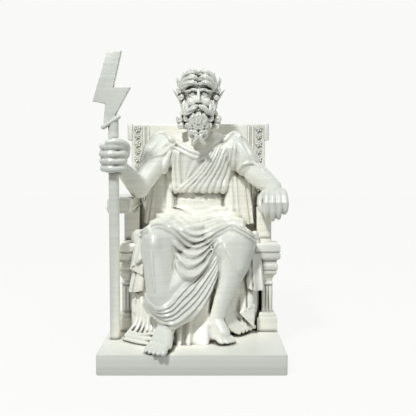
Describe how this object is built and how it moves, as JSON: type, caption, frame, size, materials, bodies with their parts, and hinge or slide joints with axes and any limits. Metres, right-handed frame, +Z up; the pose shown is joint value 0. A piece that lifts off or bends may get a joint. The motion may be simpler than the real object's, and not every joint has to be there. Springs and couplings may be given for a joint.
{
  "type": "zeus statue",
  "caption": "White printed figurine of a seated, bearded god with a laurel wreath, holding a staff topped by a lightning bolt, on a throne with a square plinth",
  "frame": {"origin": "Centre of the plinth's underside", "axes": "+Z up, the figure faces -Y, +X to the viewer's right of someone who faces the figure"},
  "size_m": [0.1278, 0.1347, 0.2],
  "materials": {
    "white_print": "White printed plastic with a faint silky sheen and fine level layer lines, unpainted"
  },
  "bodies": {
    "root": {"zeus_statue": "white_print"}
  },
  "joints": []
}
